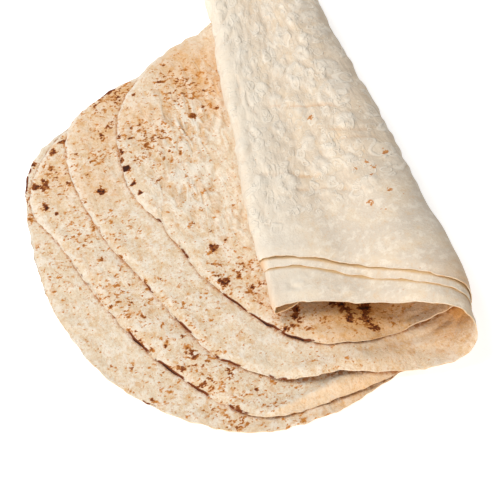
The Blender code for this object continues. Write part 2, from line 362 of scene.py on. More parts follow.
def make_sheet(name, layer, rim, outer_rim, next_rim, shape, fields, finishes):
    """One flatbread: an oval grid, folded over, given its relief, its fields and its thickness.

    shape returns how far the lying sheet is lifted and its relief. outer_rim and next_rim are the
    rims of the sheets under it and on top of it, and the one on top presses it smooth. A field is a
    list of soft spots or a function of the place, kept at each point for the finishes.
    """
    right = int(np.argmax(rim[:, 0]))
    front, back = rim[:right + 1], np.vstack([rim[right:], rim[:1]])[::-1]
    stations = columns(rim[0, 0], rim[right, 0])
    bpy.ops.mesh.primitive_grid_add(x_subdivisions=len(stations) - 1, y_subdivisions=ROWS, size=2)
    sheet = bpy.context.object
    sheet.name = name
    mesh = sheet.data
    co = np.empty(len(mesh.vertices) * 3)
    mesh.vertices.foreach_get("co", co)
    column = np.rint((co[0::3] + 1) / 2 * (len(stations) - 1)).astype(int)
    row = np.rint((co[1::3] + 1) / 2 * ROWS).astype(int)

    share = np.arange(ROWS + 1) / ROWS
    share = 0.5 * share + 0.25 * (1 - np.cos(math.pi * share))
    low, high = (np.interp(stations, line[:, 0], line[:, 1])[:, None] for line in (front, back))
    along = np.repeat(stations[:, None], ROWS + 1, axis=1)
    y = low + (high - low) * share[None, :]
    to_rim, _ = distance_to(rim, along, y)
    # seam_shade is painted shade: a narrow band just outside the rim of the sheet on top, where
    # that rim casts its shadow.
    if next_rim is None:
        free = np.ones_like(along)
        seam_shade = np.zeros_like(along)
    else:
        to_next, covered = distance_to(next_rim, along, y)
        beyond = np.where(covered, -to_next, to_next)
        free = ease(beyond, *FREE_BEYOND)
        seam_shade = 1 - ease(beyond, *SEAM_SHADE_WIDTH)
    # outer_seam_shade is painted shade: a band just outside the rim of the sheet underneath, whose
    # hem lies over this face on the flap.
    outer_seam_shade = np.zeros_like(along)
    if outer_rim is not None:
        to_outer, inside = distance_to(outer_rim, along, y)
        outer_seam_shade = 1 - ease(np.where(inside, 0.0, to_outer), *OUTER_SEAM_SHADE_WIDTH)

    rag = RAG * np.exp(-to_rim / RAG_DEPTH)
    ragged_along = along + rag * (lumps(along, y, RAG_SIZE, 3.1 + layer)
                                  + FINE_RAG * lumps(along, y, FINE_RAG_SIZE, 5.7 + layer))
    ragged_y = y + rag * (lumps(along, y, RAG_SIZE, 13.1 + layer)
                          + FINE_RAG * lumps(along, y, FINE_RAG_SIZE, 15.7 + layer))
    place = fold_over(ragged_along, ragged_y, layer * LAYER_STEP)
    folded = fold_over(along, y, layer * LAYER_STEP)
    normal = np.cross(np.gradient(folded, axis=0), np.gradient(folded, axis=1))
    normal /= np.linalg.norm(normal, axis=-1, keepdims=True)
    lift, relief = shape(along, y, to_rim, free)
    flat = along < FOLD_ALONG
    pressed = RIM_PRESS * ease(to_rim, RIM_PRESS_WIDTH, 0)
    relief = relief + np.where(flat, -pressed * min(layer, 1), pressed)
    place[..., 2] += np.where(flat, wave(place[..., 0], y) + lift, 0.0)
    place += normal * relief[..., None]
    place[..., 2] = np.maximum(place[..., 2], THICKNESS / 2)
    place -= (*MIDDLE, 0.0)
    mesh.vertices.foreach_set("co", place[column, row].ravel())

    unrolled = mesh.uv_layers[0]
    unrolled.name = "unrolled"
    corner = np.empty(len(mesh.loops), dtype=int)
    mesh.loops.foreach_get("vertex_index", corner)
    flat_place = np.stack([along + PATTERN_STEP * layer, y + PATTERN_Y], axis=-1)[column, row]
    unrolled.data.foreach_set("uv", flat_place[corner].ravel())
    blank = np.zeros_like(along)
    # lit_left_rims marks the upper left rims, which face the light: they get a painted highlight on
    # their lip and painted warm shade on their shaded sides.
    lit_left_rims = ease(y, *LIT_LEFT_RIMS_Y) * (1 - ease(along, *LIT_LEFT_RIMS_ALONG))
    # roll_highlight is a painted highlight on the outer face's roll at the second fold, which
    # curves towards the light.
    fields = {"puff": blank, "crease_shade": blank, **fields, "rim": to_rim, "lit_left_rims": lit_left_rims, "seam_shade": seam_shade,
              "outer_seam_shade": outer_seam_shade, "roll_highlight": ease(along, *ROLL_HIGHLIGHT_ALONG)}
    for field_name, field in fields.items():
        if isinstance(field, list):
            field = patches(along, y, field)
        elif callable(field):
            field = field(along, y)
        kept = mesh.attributes.new(field_name, "FLOAT", "POINT")
        kept.data.foreach_set("value", field[column, row].astype(np.float32))

    thick = sheet.vertex_groups.new(name="thickness")
    weights = (RIM_SHARE + (1 - RIM_SHARE) * ease(to_rim, 0, RIM_TAPER))[column, row]
    for index, weight in enumerate(weights):
        thick.add([index], float(weight), "REPLACE")
    for finish in finishes:
        mesh.materials.append(finish)
    body = sheet.modifiers.new("thickness", "SOLIDIFY")
    body.thickness = THICKNESS
    body.offset = 0.0
    body.vertex_group = "thickness"
    body.material_offset = 1
    body.material_offset_rim = 2
    bpy.ops.object.modifier_apply(modifier=body.name)
    bpy.ops.object.shade_smooth()
    sheet.select_set(False)
    return sheet


class Amount:
    """A number or colour that varies over a surface. Operators on it add Math nodes."""

    def __init__(self, finish, socket):
        self.finish = finish
        self.socket = socket

    def other(self, output):
        """Another output of the same node."""
        return Amount(self.finish, self.socket.node.outputs[output])

    def math(self, operation, first, second):
        """A Math node on two numbers."""
        return self.finish.node("Math", {"operation": operation}, {0: first, 1: second})

    def __add__(self, other):
        return self.math("ADD", self, other)

    def __sub__(self, other):
        return self.math("SUBTRACT", self, other)

    def __rsub__(self, other):
        return self.math("SUBTRACT", other, self)

    def __mul__(self, other):
        return self.math("MULTIPLY", self, other)

    __radd__ = __add__
    __rmul__ = __mul__

    def rise(self, low, high):
        """0 where this is below low, 1 above high and smooth between them."""
        return self.finish.node("MapRange", {"interpolation_type": "SMOOTHSTEP"},
                                {"Value": self, "From Min": low, "From Max": high})


class Finish:
    """The nodes of one material."""

    def __init__(self, name, roughness, gloss):
        self.material = bpy.data.materials.new(name)
        self.material.use_nodes = True
        self.tree = self.material.node_tree
        self.shader = self.tree.nodes["Principled BSDF"]
        self.shader.inputs["Roughness"].default_value = roughness
        self.shader.inputs["Specular IOR Level"].default_value = gloss
        self.unrolled = self.node("UVMap", {"uv_map": "unrolled"}, {})

    def node(self, kind, settings, inputs):
        """Adds a node, makes its settings, fills its sockets and returns its first output."""
        node = self.tree.nodes.new("ShaderNode" + kind)
        for name, value in settings.items():
            setattr(node, name, value)
        for name, value in inputs.items():
            if isinstance(value, Amount):
                self.tree.links.new(value.socket, node.inputs[name])
            else:
                node.inputs[name].default_value = value
        return Amount(self, node.outputs[0])

    def field(self, name):
        """A number kept at each point of the mesh."""
        return self.node("Attribute", {"attribute_name": name}, {}).other("Fac")

    def place(self, seed):
        """The place on the unrolled sheet, in metres, moved to another part of each pattern."""
        return self.node("VectorMath", {"operation": "ADD"},
                         {0: self.unrolled, 1: (0.37 * seed, 0.83 * seed, 0.0)})

    def grain(self, size, seed, detail=3.0, roughness=0.55):
        """Cloudy random pattern from 0 to 1, as wide as size."""
        return self.node("TexNoise", {"noise_dimensions": "2D"},
                         {"Vector": self.place(seed), "Scale": 1 / size, "Detail": detail,
                          "Roughness": roughness})

    def tint(self, share, under, over):
        """Colour laid over another one, by share."""
        mixed = self.node("Mix", {"data_type": "RGBA"}, {0: share, 6: under, 7: over})
        return mixed.other(2)

    def link(self, value, socket):
        """Feeds a varying amount to a socket of the material's shader."""
        self.tree.links.new(value.socket, self.shader.inputs[socket])

    def bump(self, height):
        """Small relief, with its height in metres."""
        self.link(self.node("Bump", {}, {"Strength": 1.0, "Distance": 1.0, "Height": height}),
                  "Normal")

    def scattered(self, cell, ragged, seed):
        """Scattered spots, one in each cell: how far off it is, in cells, and its own number."""
        shift = self.grain(cell * 0.7, seed + 0.5, 1.0).other("Color")
        shift = self.node("VectorMath", {"operation": "SUBTRACT"}, {0: shift, 1: (0.5, 0.5, 0.5)})
        shift = self.node("VectorMath", {"operation": "SCALE"}, {0: shift, "Scale": cell * ragged})
        place = self.node("VectorMath", {"operation": "ADD"}, {0: self.place(seed), 1: shift})
        away = self.node("TexVoronoi", {"voronoi_dimensions": "2D"},
                         {"Vector": place, "Scale": 1 / cell})
        return away, self.node("SeparateColor", {}, {"Color": away.other("Color")})

    def ropes(self, size, turn, seed):
        """Cloudy pattern drawn out along one direction, like slack dough lying in folds."""
        place = self.node("Mapping", {}, {"Vector": self.place(seed), "Rotation": (0, 0, turn),
                                          "Scale": (1.0, 0.4, 1.0)})
        return self.node("TexNoise", {"noise_dimensions": "2D"},
                         {"Vector": place, "Scale": 1 / size, "Detail": 3.0, "Distortion": 0.8})


def flecks(crust, amount, size, turn, seed):
    """How burnt the crust is: below 0 between the ragged flecks, and up to about 0.2 in them."""
    place = crust.node("Mapping", {}, {"Vector": crust.place(seed), "Rotation": (0, 0, turn),
                                       "Scale": (1.0, 1.35, 1.0)})
    cloud = crust.node("TexNoise", {"noise_dimensions": "2D"},
                       {"Vector": place, "Scale": 1 / size, "Detail": 2.0, "Roughness": 0.55})
    return cloud + amount * 0.30 - 0.80


def blister_rings(crust, blister, cell, seed):
    """Blisters that have fallen in again: their raised ring, and the blistered round inside it."""
    away, chance = crust.scattered(cell, 0.5, seed)
    size = chance * 0.25 + 0.14
    off = away - size
    raised = (blister - chance.rise(0.75, 1.0)).rise(0.0, 0.4)
    broken = crust.grain(cell * 0.8, seed + 0.3, 1.0).rise(0.36, 0.56)
    return (1 - (off * off).rise(0.0, 0.010)) * raised * broken, (1 - off.rise(-0.2, 0.04)) * raised


# Colours of the baked dough, some of which also serve as painted highlight and painted warm shade,
# and size, turn, seed and density of each kind of burnt fleck
CREAM = (0.79, 0.655, 0.485, 1.0)
TAN = (0.72, 0.50, 0.28, 1.0)
FLOUR_AND_HIGHLIGHT = (0.88, 0.80, 0.68, 1.0)
GOLD = (0.66, 0.31, 0.075, 1.0)
RUST = (0.42, 0.14, 0.026, 1.0)
BROWN = (0.19, 0.042, 0.007, 1.0)
CHAR = (0.045, 0.012, 0.005, 1.0)
WARM_TONE_AND_SHADE = (0.76, 0.38, 0.11, 1.0)
ORANGE = (0.58, 0.225, 0.040, 1.0)
HEM_SHADE_GOLD = (0.55, 0.32, 0.10, 1.0)
FLOURY_CREAM = (0.71, 0.615, 0.50, 1.0)
ROLL_HIGHLIGHT_WHITE = (0.86, 0.785, 0.665, 1.0)
FLECKS = [(4.6 * MM, 0.6, 6.0, 1.0), (8.0 * MM, -0.8, 8.0, 0.9), (3.6 * MM, 2.0, 7.0, 1.2)]


def speckled_crust():
    """The face that touched the hot wall: cream and tan clouds, toasted smears and burnt flecks."""
    crust = Finish("speckled_crust", 0.8, 0.25)
    toast, burn, seam_shade = crust.field("toast"), crust.field("burn"), crust.field("seam_shade")
    warm_tone_and_shade, lit_left_rims, to_rim = crust.field("warm_tone_and_shade"), crust.field("lit_left_rims"), crust.field("rim")
    crumple = crust.field("crumple")
    clouds = crust.grain(30 * MM, 1.0, 3.0)
    mottle = crust.grain(9 * MM, 2.0, 5.0, 0.7)
    pores = crust.grain(2.4 * MM, 3.0, 3.0, 0.7)
    folds = crust.ropes(8 * MM, 0.9, 10.0)
    colour = crust.tint((clouds + toast * 0.2).rise(0.44, 0.72) * 0.6, CREAM, TAN)
    colour = crust.tint((mottle + clouds * 0.3).rise(0.58, 0.80) * 0.8, colour, FLOUR_AND_HIGHLIGHT)
    colour = crust.tint((1 - mottle).rise(0.52, 0.68) * 0.3, colour, TAN)
    colour = crust.tint(pores.rise(0.54, 0.70) * 0.42, colour, GOLD)
    colour = crust.tint((1 - pores).rise(0.54, 0.70) * 0.6, colour, FLOUR_AND_HIGHLIGHT)
    # Painted warm shade where the warm spots lie in the fold's shade, and a warm toasted tone
    # elsewhere
    colour = crust.tint(warm_tone_and_shade * (mottle * 0.6 + pores * 0.4 + 0.35), colour, WARM_TONE_AND_SHADE)
    # Painted highlight on the ridges of the crumpled dough's folds, and painted shade, gold, in
    # their troughs
    colour = crust.tint(folds.rise(0.44, 0.60) * crumple * 0.75, colour, FLOUR_AND_HIGHLIGHT)
    colour = crust.tint((1 - folds).rise(0.48, 0.62) * crumple * 0.35, colour, GOLD)
    # Painted highlight: the lip of the upper left rims, which faces the light, is whitened
    lip_highlight = (1 - to_rim.rise(1.2 * MM, 3.2 * MM)) * lit_left_rims
    colour = crust.tint(lip_highlight * 0.6, colour, FLOUR_AND_HIGHLIGHT)

    clumps = crust.grain(12 * MM, 4.0, 2.0).rise(0.36, 0.62)
    amount = toast * (clumps * 0.6 + 0.5) + toast.rise(0.85, 1.35) * 0.5
    smear = (crust.grain(8 * MM, 5.0, 3.0) + amount * 0.14 + warm_tone_and_shade * 0.12).rise(0.60, 0.78)
    colour = crust.tint(smear * 0.42, colour, GOLD)
    for size, turn, seed, dense in FLECKS:
        heat = flecks(crust, amount * dense, size, turn, seed)
        dark = (heat * 3.0 + amount * 1.1 - 0.50).rise(0.0, 0.6)
        colour = crust.tint(heat.rise(-0.07, 0.0) * 0.6, colour, ORANGE)
        colour = crust.tint(heat.rise(0.0, 0.03), colour, crust.tint(dark, ORANGE, BROWN))
        colour = crust.tint(heat.rise(0.15, 0.22), colour, CHAR)
    patchy = crust.grain(4 * MM, 9.0, 2.0)
    # Painted shade, rust-brown, along the rim of the sheet on top
    colour = crust.tint(seam_shade * (patchy.rise(0.4, 0.6) * 0.6 + 0.25), colour, RUST)
    edge = (1 - to_rim.rise(0.3 * MM, 2.4 * MM)) * (burn + patchy * 0.9 - 0.75)
    colour = crust.tint(edge.rise(0.02, 0.2), colour, BROWN)
    colour = crust.tint(edge.rise(0.35, 0.7), colour, CHAR)
    crust.link(colour, "Base Color")
    crust.bump(mottle * (1.3 * MM) + pores * (0.25 * MM) + folds * (crumple * (2.4 * MM)))
    return crust.material


def floury_crust():
    """The other face: paler, smoother and floury, with low blisters like worn rings."""
    crust = Finish("floury_crust", 0.85, 0.2)
    toast, blister, warm_tone_and_shade = crust.field("toast"), crust.field("blister"), crust.field("warm_tone_and_shade")
    roll_highlight, seam_shade, puff = crust.field("roll_highlight"), crust.field("outer_seam_shade"), crust.field("puff")
    crease_shade = crust.field("crease_shade")
    clouds = crust.grain(24 * MM, 11.0, 4.0)
    mottle = crust.grain(7 * MM, 12.0, 5.0, 0.68)
    pores = crust.grain(1.8 * MM, 13.0, 3.0)
    folds = crust.ropes(9 * MM, 1.5, 17.0)
    ring, round_inside = blister_rings(crust, blister, 19 * MM, 14.0)
    small_ring, small_inside = blister_rings(crust, blister, 9 * MM, 15.0)
    raised = (round_inside + small_inside * 0.7).rise(0.0, 1.0)
    colour = crust.tint(clouds.rise(0.48, 0.66) * 0.5, FLOURY_CREAM, CREAM)
    colour = crust.tint(mottle.rise(0.48, 0.66) * 0.6, colour, FLOUR_AND_HIGHLIGHT)
    colour = crust.tint((1 - mottle).rise(0.55, 0.72) * 0.4, colour, TAN)
    colour = crust.tint(pores.rise(0.55, 0.72) * 0.15, colour, GOLD)
    colour = crust.tint(puff.rise(0.2, 1.0) * 0.28, colour, FLOUR_AND_HIGHLIGHT)
    colour = crust.tint((1 - puff.rise(0.0, 0.25)) * blister * mottle * 0.35, colour, TAN)
    # Painted shade, gold, in the grooves of the flap's creases
    colour = crust.tint(crease_shade * crease_shade * 0.35, colour, GOLD)
    colour = crust.tint(raised * 0.3, colour, FLOUR_AND_HIGHLIGHT)
    colour = crust.tint(ring * 0.65, colour, FLOUR_AND_HIGHLIGHT)
    colour = crust.tint(small_ring * 0.65, colour, FLOUR_AND_HIGHLIGHT)
    # Painted highlight, whitened, on the roll of the second fold, which curves towards the light
    colour = crust.tint(roll_highlight * (clouds * 0.5 + 0.3), colour, ROLL_HIGHLIGHT_WHITE)
    # Painted warm shade where the warm spots lie in the fold's shade, and a warm toasted tone
    # elsewhere
    colour = crust.tint(warm_tone_and_shade * 0.8, colour, WARM_TONE_AND_SHADE)
    # Painted shade, gold-brown, under the hem of the sheet that lies over this face on the flap
    colour = crust.tint(seam_shade * 0.75, colour, HEM_SHADE_GOLD)
    heat = flecks(crust, toast * 1.9, 3.5 * MM, 0.6, 16.0)
    spot = crust.tint(heat.rise(0.05, 0.3), ORANGE, RUST)
    colour = crust.tint(heat.rise(0.0, 0.04) * 0.9, colour, spot)
    crust.link(colour, "Base Color")
    height = ring * (0.55 * MM) + round_inside * (0.4 * MM) + small_ring * (0.38 * MM)
    height = height + small_inside * (0.2 * MM) + folds * (blister * (1.2 * MM))
    crust.bump(height + mottle * (0.8 * MM) + pores * (0.12 * MM))
    return crust.material


def baked_rim():
    """The cut-thin rim: cream and tan in patches, with painted warm shade on the upper left rims,
    and black where it burnt.
    """
    rim = Finish("baked_rim", 0.8, 0.25)
    burn, lit_left_rims = rim.field("burn"), rim.field("lit_left_rims")
    patchy = rim.grain(6 * MM, 21.0, 3.0)
    colour = rim.tint(patchy.rise(0.40, 0.65) * 0.8, CREAM, TAN)
    colour = rim.tint(patchy.rise(0.52, 0.72) * 0.6, colour, GOLD)
    # Painted warm shade: the sides of the upper left rims, which lie in shade, are tinted tan
    colour = rim.tint(lit_left_rims * 0.6, colour, TAN)
    scorch = burn + patchy * 0.8 - 0.3
    colour = rim.tint(scorch.rise(0.40, 0.65), colour, BROWN)
    colour = rim.tint(scorch.rise(0.75, 1.1), colour, CHAR)
    rim.link(colour, "Base Color")
    return rim.material


# The bottom sheet's rim, and the spots where it is toasted, burnt, given painted warm shade or
# crumpled: the place on the unrolled sheet and the radius in mm, and the strength.
BOTTOM_RIM = [
    (-164, 35), (-160, -12), (-141, -68), (-102, -117), (-50, -150), (6, -155), (55, -145),
    (96, -133), (140, -111), (200, -66), (245, -37), (285, -24), (325, -12)]
BOTTOM_LEFT = [(-15, 198), (-104, 167), (-140, 143), (-157, 103)]
SECOND_RIM = [
    (-154, 90), (-141, 52), (-128, 0), (-104, -62), (-70, -115), (-38, -142), (15, -146),
    (60, -143), (100, -134), (140, -118), (200, -75), (250, -42), (300, -30), (330, -10)]
SECOND_LEFT = [(-25, 190), (-104, 165), (-143, 127)]
BOTTOM_TOAST = [
    (-141, 139, 4, 1.2), (-159, 59, 3, 0.6), (-153, 39, 3, 0.7), (-158, 16, 3, 0.8),
    (-157, -6, 2.5, 0.7), (-139, -14, 2.5, 0.7), (-147, -19, 2.5, 0.7), (-147, -38, 4, 0.6),
    (-139, -45, 4, 0.6), (-134, -62, 4, 0.7), (-121, -68, 5, 0.7), (-127, -85, 3, 0.9),
    (-128, -7, 3, 0.6), (-99, -80, 2, 1.0), (-100, -96, 2.5, 0.7), (-114, -99, 3, 0.9),
    (-102, -113, 3, 0.7), (-77, -119, 8, 0.7), (-81, -109, 3, 0.5), (-67, -140, 7, 0.6),
    (-61, -141, 4, 0.6), (200, 80, 3, 0.9), (156, 24, 3, 0.8), (182, 17, 2.5, 0.8),
    (172, 19, 2.5, 0.8), (168, 12, 2.5, 0.8), (173, 5, 2.5, 0.8), (165, -13, 2.5, 0.8),
    (201, 81, 2.5, 1.0), (183, -16, 3, 0.9), (175, -26, 2.5, 0.8), (60, 30, 30, 0.12),
    (-135, 30, 40, 0.42), (-100, -90, 34, 0.36), (-60, -138, 24, 0.5), (-150, 100, 30, 0.6),
    (-20, -150, 30, 0.38)]
BOTTOM_BURN = [(-155, 122, 10, 1.1), (-147, 136, 6, 0.8), (-114, -99, 8, 0.6)]
# Painted warm shade on the front margin, where the hump shades it, and near the fold
BOTTOM_WARM_TONE_AND_SHADE = [
    (118, -90, 26, 0.4), (15, -152, 26, 0.4), (50, -147, 30, 0.4), (90, -136, 34, 0.40),
    (125, -118, 34, 0.7), (30, -154, 20, 0.6)]
BOTTOM_CRUMPLE = [
    (10, -150, 34, 1.0), (-60, -140, 24, 0.6), (60, -145, 30, 1.0), (90, -134, 30, 0.8),
    (-100, -110, 20, 0.4)]
BOTTOM_CRUMPLE_TINT = 0.35
# Blisters of the flap: place and radius in mm
FLAP_BLISTERS = [
    (222, 189, 8), (194, 178, 4), (172, 183, 5.5), (156, 181, 5), (256, 169, 4), (242, 128, 6),
    (254, 149, 5), (196, 128, 11), (163, 124, 6), (166, 98, 9), (200, 205, 7), (253, 120, 4),
    (155, 164, 4), (221, 158, 8), (202, 169, 5), (162, 197, 5), (235, 85, 5.5), (209, 34, 7),
    (279, 80, 5), (243, 31, 9), (176, 93, 10), (255, 167, 5), (268, 201, 4), (169, 157, 4),
    (253, 210, 5), (171, 65, 6), (208, 93, 5), (266, 39, 5), (196, 44, 5), (177, -2, 6),
    (183, 27, 5), (215, 140, 5), (180, 145, 6), (230, 110, 6), (186, 110, 5), (212, 60, 5)]
# Creases of the flap: both ends, half width and height in mm, with grooves below zero
FLAP_CREASES = [
    ((242, 109), (166, 81), 2.2, 1.1), ((240, 114), (200, 100), 4.0, -0.8),
    ((272, 50), (208, 27), 2.2, 1.0), ((238, 23), (210, 13), 2.0, 0.9),
    ((281, 60), (263, 80), 2.0, 1.3), ((263, 80), (267, 94), 2.0, 1.2),
    ((276, 66), (269, 84), 3.0, -0.9), ((284, 203), (258, 224), 2.0, 1.0),
    ((290, 180), (262, 196), 2.2, 0.9), ((268, 150), (270, 120), 2.2, 1.0),
    ((275, 118), (279, 92), 2.0, 0.9), ((262, 124), (256, 104), 2.4, 1.0),
    ((190, 62), (156, 47), 2.2, 0.9), ((186, 52), (154, 38), 2.0, 0.8),
    ((205, 8), (178, -4), 2.4, 0.7), ((272, 20), (266, -4), 2.2, 0.9)]
BLISTER_WANDER = 1.6 * MM
BLISTER_RING = 0.8
BLISTER_RING_WIDTH = 2.2
BLISTER_HEIGHT_MM = 1.3
WRINKLE_HEIGHT = 2.2 * MM
BOTTOM_RIM_LIFT = 0.8 * MM
FLAP_RISE = (FOLD_ALONG, 130 * MM)
FLAP_STAND_OFF_MM = 0.4
FLAP_ROUGH_Y = (-30 * MM, 30 * MM)
TURN_RUMPLED = (250 * MM, 275 * MM)
TURN_RUMPLE_HEIGHT = 1.3 * MM
BLISTER_Y = (-20 * MM, 25 * MM)
BLISTER_ALONG = (120 * MM, 150 * MM)


def puffs(along, y):
    """Blisters in the flap that rose and fell in again, as low domes with a raised ring."""
    field = np.zeros_like(along)
    around_along = along + BLISTER_WANDER * lumps(along, y, 6 * MM, 74.5)
    around_y = y + BLISTER_WANDER * lumps(along, y, 6 * MM, 75.5)
    for index, (spot_along, spot_y, radius) in enumerate(FLAP_BLISTERS):
        away = np.hypot(around_along - spot_along * MM, around_y - spot_y * MM) / (radius * MM)
        ring = np.exp(-((away - BLISTER_RING) * radius / BLISTER_RING_WIDTH) ** 2)
        ring *= 0.8 + 0.2 * (index % 3)
        dome = np.exp(-away ** 4) * (0.2 + 0.3 * (index % 2))
        field = np.maximum(field, ring + dome)
    return field


def bubbles(along, y, size, fine_size, fine_height, seed):
    """Broad low bubbles in the dough with finer ones on them, whose height is given in mm."""
    return (1.2 * lumps(along, y, size, seed)
            + fine_height * lumps(along, y, fine_size, seed + 1.0)) * MM


def bottom_shape(along, y, to_rim, free):
    """Wrinkles and small bubbles in the margin, and a lively, blistered and creased flap."""
    flat = along < FOLD_ALONG
    margin = bubbles(along, y, 34 * MM, 11 * MM, 0.8, 1.5)
    wrinkled = patches(along, y, BOTTOM_CRUMPLE)
    wrinkles = lumps(along * 0.4 + y * 0.5, y - along * 0.3, 7 * MM, 7.5)
    margin += wrinkled * wrinkles * WRINKLE_HEIGHT
    rough = ease(y, *FLAP_ROUGH_Y)
    flap = (1.6 * lumps(along, y, 26 * MM, 3.5) + 1.3 * lumps(along, y, 10 * MM, 4.5) * rough
            + 0.5 * lumps(along, y, 5 * MM, 5.5) * rough) * MM
    rumpled = ease(along, *TURN_RUMPLED) * lumps(along, y * 0.2, 7 * MM, 8.5)
    flap += TURN_RUMPLE_HEIGHT * rumpled
    flap -= creases(along, y, FLAP_CREASES)
    flap += (BLISTER_HEIGHT_MM * puffs(along, y) + FLAP_STAND_OFF_MM) * MM
    rim_lift = ease(to_rim, 14 * MM, 0) * (1 + lumps(along, y, 30 * MM, 6.5)) * BOTTOM_RIM_LIFT
    return rim_lift * free, np.where(flat, margin * free, -flap * ease(along, *FLAP_RISE))


def blisters(along, y):
    """The upper flap is blistered, and its front end smooth."""
    return ease(y, *BLISTER_Y) * ease(along, *BLISTER_ALONG)


bottom_rim = rim_line(BOTTOM_RIM, BOTTOM_LEFT, 0)
second_rim = rim_line(SECOND_RIM, SECOND_LEFT, 1)
finishes = (speckled_crust(), floury_crust(), baked_rim())
bottom = make_sheet(
    "bottom_lavash", 0, bottom_rim, None, second_rim, bottom_shape,
    {"toast": BOTTOM_TOAST, "burn": BOTTOM_BURN, "blister": blisters,
     "crumple": lambda along, y: BOTTOM_CRUMPLE_TINT * patches(along, y, BOTTOM_CRUMPLE),
     "warm_tone_and_shade": BOTTOM_WARM_TONE_AND_SHADE, "puff": puffs,
     "crease_shade": lambda along, y: np.clip(creases(along, y, FLAP_CREASES) / MM, 0, 1)},
    finishes)
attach(bottom, "root")
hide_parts("sheet_bottom")

# Second sheet: the same dough, a little smaller. It lies on the bottom one, and its front margin
# is the most burnt, with dark flecks in clumps and a charred rim. In front it hangs down in a
# smooth strip, under a hump that lifts the sheets above it.
THIRD_RIM = [
    (-115, 112), (-107, 50), (-90, 0), (-62, -76), (-28, -111), (-5, -124), (30, -132),
    (62, -141), (100, -150), (122, -147), (140, -137), (165, -118), (190, -103), (230, -80),
    (266, -68), (292, -70), (314, -68), (332, -52), (342, -26)]
THIRD_LEFT = [(0, 208), (-35, 197), (-66, 189), (-104, 163)]
SECOND_TOAST = [
    (-119, -13, 3.5, 1.3), (-114, -4, 3, 0.7), (-98, -30, 5, 1.0), (-111, -40, 4, 1.1),
    (-108, -51, 4, 1.2), (-102, -58, 4, 1.0), (-89, -60, 6, 0.9), (-99, -50, 3, 0.8),
    (-79, -51, 3, 0.9), (-76, -57, 3, 0.8), (-76, -45, 4, 0.8), (-76, -75, 8, 0.95),
    (-90, -75, 3, 1.0), (-94, -79, 4, 1.1), (-86, -82, 5, 0.9), (-77, -86, 5, 0.9),
    (-87, -43, 4, 0.6), (-114, 29, 3, 0.9), (-104, 16, 4, 0.6), (-76, -99, 4, 1.1),
    (-66, -84, 5, 0.8), (-73, -84, 4, 0.8), (-60, -100, 5, 0.9), (-54, -99, 5, 0.9),
    (-54, -107, 5, 0.8), (-46, -104, 4, 0.8), (-49, -118, 4, 1.0), (-45, -116, 3, 1.0),
    (-40, -119, 4, 1.0), (-33, -110, 5, 0.8), (-63, -111, 2.5, 1.2), (-58, -118, 3, 0.8),
    (-35, -135, 4, 0.8), (-24, -135, 5, 0.5), (-58, -128, 5, 0.8), (-71, -112, 4, 0.8),
    (-112, 152, 6, 1.15), (-122, 146, 6, 1.25), (-145, 115, 4, 1.2), (-137, 113, 7, 1.2),
    (-137, 119, 3.5, 1.1), (-127, 117, 5, 1.1), (-119, 118, 4, 1.1), (-120, 110, 4, 1.1),
    (-142, 92, 5, 1.2), (-136, 83, 2.5, 1.0), (-123, 74, 4, 0.7), (-62, -95, 38, 0.60),
    (-126, 120, 30, 0.55), (-104, -10, 40, 0.5), (-120, 60, 34, 0.5), (-25, -128, 26, 0.5)]
SECOND_BURN = [(-108, -50, 12, 1.1), (-92, -80, 14, 1.1), (-76, -102, 12, 0.9),
               (-56, -128, 12, 0.6), (-122, 18, 22, 0.5), (-147, 92, 5, 0.6)]
# Warm spots: painted warm shade at the hem's corner by the second fold and on the front strip, and
# a warm toasted tone at the back left
SECOND_WARM_TONE_AND_SHADE = [(283, -29, 6, 0.7), (-128, 118, 26, 0.3), (45, -142, 26, 0.3), (85, -135, 26, 0.3),
               (-85, 150, 30, 0.3)]
SECOND_CRUMPLE = [(-110, 20, 40, 0.4), (-90, -40, 30, 0.3)]
RIM_LIFT_WIDTH = 12 * MM
RIM_LIFT_HEIGHT = 0.6 * MM
HUMP_HEIGHT = 9 * MM
HUMP_LEFT_X = -25 * MM
HUMP_MIDDLE_X = 32 * MM
HUMP_FRONT_Y = -150 * MM
HUMP_TOP_Y = -124 * MM
HUMP_BACK_Y = -58 * MM
SECOND_HUMP_HEIGHT = 5.5 * MM
SECOND_HUMP_TOP_Y = -136 * MM
DRAPE_CREST_X = -33 * MM
DRAPE_CREST_Y = -139 * MM
DRAPE_CREST_SLANT = 0.1
DRAPE_LEFT = (-42 * MM, -20 * MM)
DRAPE_RIGHT = (90 * MM, 120 * MM)
DRAPE_EDGE = (-2.5 * MM, 0.5 * MM)
DRAPE_CLEAN = 0.8
# The front strip's warm tint is partly painted warm shade, as the strip hangs down away from the
# light
DRAPE_WARM_TONE_AND_SHADE = 0.24
DRAPE_CREST = [((-36, -141), (-8, -138), 3.0, 2.6), ((-8, -138), (30, -133), 3.0, 2.4),
               ((30, -133), (60, -131), 3.0, 1.2)]


def hump(x, y, height=HUMP_HEIGHT, top_y=HUMP_TOP_Y):
    """Height of the hump that lifts the upper three sheets off the bottom one at the front."""
    across = ease(x, HUMP_LEFT_X, HUMP_MIDDLE_X) * (1 - ease(x, HUMP_MIDDLE_X, FOLD_START_X))
    deep = ease(y, HUMP_FRONT_Y, top_y) * (1 - ease(y, top_y, HUMP_BACK_Y))
    return height * across * deep


def drape(along, y):
    """The second sheet's front strip, which hangs down smooth and unspeckled from its crest."""
    crest_y = DRAPE_CREST_Y + DRAPE_CREST_SLANT * (along - DRAPE_CREST_X)
    ends = ease(along, *DRAPE_LEFT) * (1 - ease(along, *DRAPE_RIGHT))
    return ends * (1 - ease(y - crest_y, *DRAPE_EDGE))


